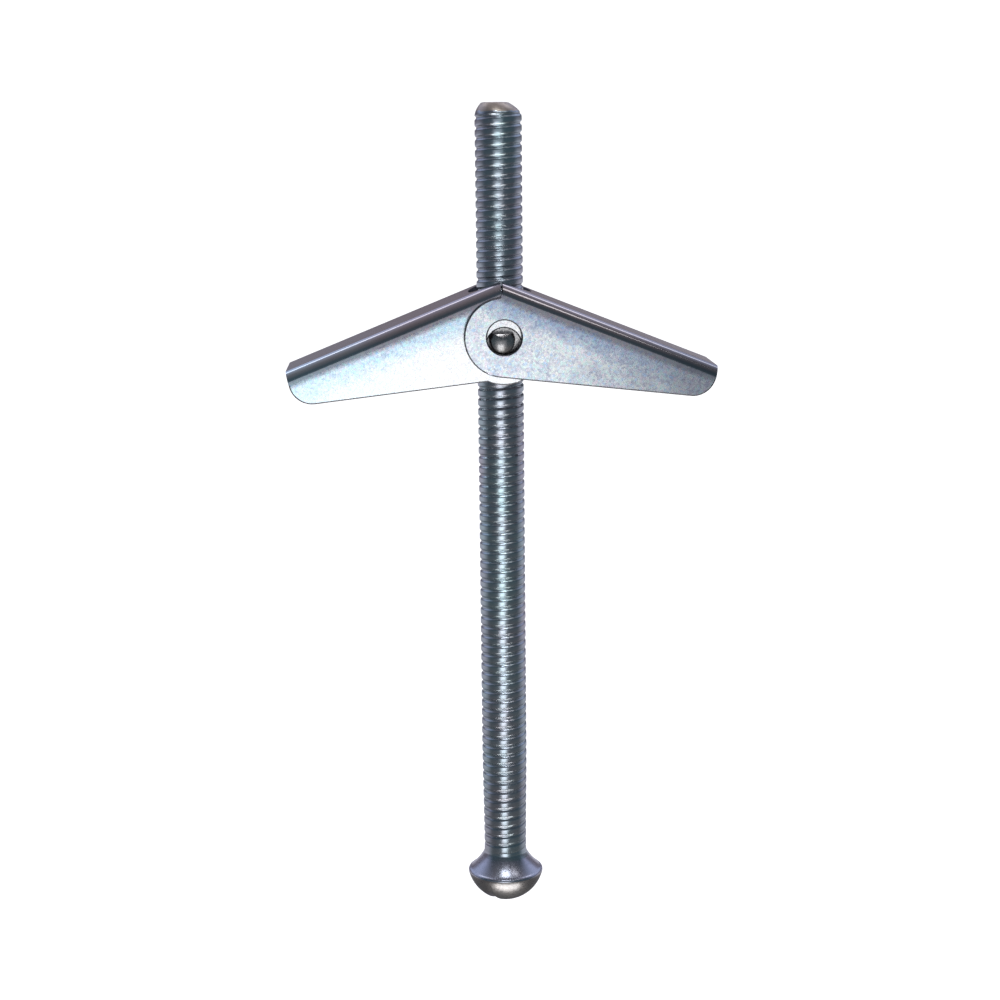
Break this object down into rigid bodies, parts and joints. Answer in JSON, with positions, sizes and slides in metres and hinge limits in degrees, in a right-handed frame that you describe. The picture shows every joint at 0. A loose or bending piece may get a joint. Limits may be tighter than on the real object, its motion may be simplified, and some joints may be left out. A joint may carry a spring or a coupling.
{
  "type": "spring toggle bolt",
  "caption": "Hollow-wall anchor: round-head slotted machine screw through a trunnion nut that carries two sprung, folding channel wings.",
  "frame": {"origin": "centre of the head's bearing face, on the screw's axis, where the fixture and the wall's near face sit", "axes": "+Z along the screw from the head towards the tip; +X along the right wing; the wings' pivot runs along Y"},
  "size_m": [0.055, 0.0136, 0.1065],
  "materials": {
    "screw_steel": "bright zinc plate with a clear blue passivate over rolled thread, satin",
    "nut_steel": "zinc plate, duller and darker in the pivot",
    "left_wing_zinc": "bright zinc plate with a clear blue passivate, fine mottled grain, satin",
    "right_wing_zinc": "bright zinc plate with a clear blue passivate, fine mottled grain, satin",
    "spring_wire": "plain drawn spring wire, semi-bright"
  },
  "bodies": {
    "screw": {"machine_screw": "screw_steel"},
    "nut_carriage": {"torsion_spring": "spring_wire"},
    "nut": {"trunnion_nut": "nut_steel"},
    "left_wing": {"left_wing": "left_wing_zinc"},
    "right_wing": {"right_wing": "right_wing_zinc"}
  },
  "joints": [
    {"name": "nut_travel", "type": "slide", "parent": "screw", "child": "nut_carriage", "axis": [0, 0, 1], "range_m": [-0.04445, 0.02413]},
    {"name": "nut_turn", "type": "hinge", "parent": "nut_carriage", "child": "nut", "pos_m": [0, 0, 0.0724], "axis": [0, 0, 1], "range_deg": [-12610, 6850]},
    {"name": "left_wing_fold", "type": "hinge", "parent": "nut", "child": "left_wing", "pos_m": [0, 0, 0.0724], "axis": [0, -1, 0], "range_deg": [0, 69.4], "stiffness_Nm_per_rad": 0.02, "springref_deg": -40.11, "deforming": ["torsion_spring"]},
    {"name": "right_wing_fold", "type": "hinge", "parent": "nut", "child": "right_wing", "pos_m": [0, 0, 0.0724], "axis": [0, 1, 0], "range_deg": [0, 69.4], "stiffness_Nm_per_rad": 0.02, "springref_deg": -40.11, "deforming": ["torsion_spring"]}
  ],
  "couplings": [
    {"joint": "nut_turn", "follows": "nut_travel", "rad_per_m": 4947.4}
  ]
}
